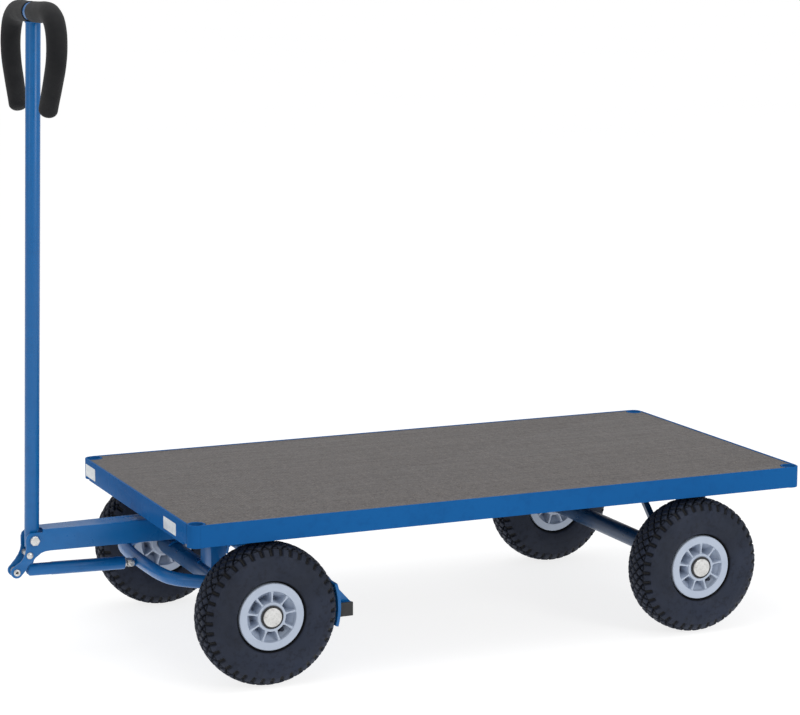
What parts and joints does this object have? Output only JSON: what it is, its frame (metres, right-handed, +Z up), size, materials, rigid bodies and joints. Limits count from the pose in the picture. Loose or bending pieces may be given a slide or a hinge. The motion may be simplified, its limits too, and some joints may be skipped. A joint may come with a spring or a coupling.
{
  "type": "platform trolley",
  "caption": "Flat-deck platform trolley with steerable front axle, pneumatic wheels, corner stake sockets and an upright drawbar with looped handle that works a parking brake.",
  "frame": {"origin": "on the floor under the middle of the trolley's overall length and width", "axes": "+X forward towards the drawbar, +Y to the trolley's left, +Z up"},
  "size_m": [1.4885, 0.682, 1.2077],
  "materials": {
    "blue_paint": "blue powder coat, satin",
    "deck_board": "grey-brown resin-faced plywood with a fine anti-slip grain",
    "tyre": "dark grey pneumatic tyre with a block tread",
    "rim_plastic": "light grey moulded rim",
    "zinc": "zinc plated",
    "black_plastic": "black moulded",
    "handle_tube": "black, covered by the grips",
    "foam": "soft closed-cell foam sleeve"
  },
  "bodies": {
    "chassis": {"rail_left": "blue_paint", "rail_right": "blue_paint", "rail_front": "blue_paint", "rail_rear": "blue_paint", "socket_front_left": "blue_paint", "socket_front_right": "blue_paint", "socket_rear_left": "blue_paint", "socket_rear_right": "blue_paint", "deck_board": "deck_board", "cross_member_front": "blue_paint", "cross_member_middle": "blue_paint", "cross_member_rear": "blue_paint", "turntable_plate": "blue_paint", "turntable_ring_upper": "zinc", "rear_axle": "blue_paint", "axle_carrier_left": "blue_paint", "axle_carrier_right": "blue_paint"},
    "bogie": {"turntable_ring_lower": "zinc", "bogie_plate": "blue_paint", "kingpin": "zinc", "drawbar_beam": "blue_paint", "pivot_bolt": "zinc", "spacer_bolt": "zinc", "end_pin": "zinc", "front_axle": "blue_paint", "axle_post": "blue_paint", "brake_guide_left": "blue_paint", "brake_guide_right": "blue_paint"},
    "drawbar": {"drawbar_tube": "blue_paint", "brake_tongue": "blue_paint", "handle_bar": "handle_tube", "handle_collar": "blue_paint", "grip_left": "foam", "grip_right": "foam"},
    "brake": {"brake_bow": "blue_paint", "brake_bar": "blue_paint", "brake_lug": "blue_paint", "bar_cap_left": "black_plastic", "bar_cap_right": "black_plastic", "brake_shoe_left": "blue_paint", "brake_shoe_right": "blue_paint"},
    "brake_rod": {"rod_fork": "zinc", "brake_rod": "blue_paint"},
    "wheel_front_left": {"tyre_front_left": "tyre", "rim_front_left": "rim_plastic", "hub_cap_front_left": "zinc", "valve_front_left": "black_plastic"},
    "wheel_front_right": {"tyre_front_right": "tyre", "rim_front_right": "rim_plastic", "hub_cap_front_right": "zinc", "valve_front_right": "black_plastic"},
    "wheel_rear_left": {"tyre_rear_left": "tyre", "rim_rear_left": "rim_plastic", "hub_cap_rear_left": "zinc", "valve_rear_left": "black_plastic"},
    "wheel_rear_right": {"tyre_rear_right": "tyre", "rim_rear_right": "rim_plastic", "hub_cap_rear_right": "zinc", "valve_rear_right": "black_plastic"}
  },
  "joints": [
    {"name": "steering", "type": "hinge", "parent": "chassis", "child": "bogie", "pos_m": [0.3587, 0, 0.25], "axis": [0, 0, 1], "range_deg": [-50, 50]},
    {"name": "drawbar_tilt", "type": "hinge", "parent": "bogie", "child": "drawbar", "pos_m": [0.7007, 0, 0.232], "axis": [0, 1, 0], "range_deg": [0, 90]},
    {"name": "brake_slide", "type": "slide", "parent": "bogie", "child": "brake", "axis": [1, 0, 0], "range_m": [-0.042, 0]},
    {"name": "brake_rod_tilt", "type": "hinge", "parent": "brake", "child": "brake_rod", "pos_m": [0.5137, 0, 0.1685], "axis": [0, 1, 0], "range_deg": [-18.1, 0]},
    {"name": "wheel_spin_front_left", "type": "hinge", "parent": "bogie", "child": "wheel_front_left", "pos_m": [0.3587, 0.302, 0.13], "axis": [0, 1, 0], "continuous": true},
    {"name": "wheel_spin_front_right", "type": "hinge", "parent": "bogie", "child": "wheel_front_right", "pos_m": [0.3587, -0.302, 0.13], "axis": [0, 1, 0], "continuous": true},
    {"name": "wheel_spin_rear_left", "type": "hinge", "parent": "chassis", "child": "wheel_rear_left", "pos_m": [-0.5173, 0.302, 0.13], "axis": [0, 1, 0], "continuous": true},
    {"name": "wheel_spin_rear_right", "type": "hinge", "parent": "chassis", "child": "wheel_rear_right", "pos_m": [-0.5173, -0.302, 0.13], "axis": [0, 1, 0], "continuous": true}
  ],
  "couplings": [
    {"joint": "brake_slide", "follows": "drawbar_tilt", "m_per_rad": -0.0266},
    {"joint": "brake_rod_tilt", "follows": "drawbar_tilt", "ratio": -0.2}
  ]
}
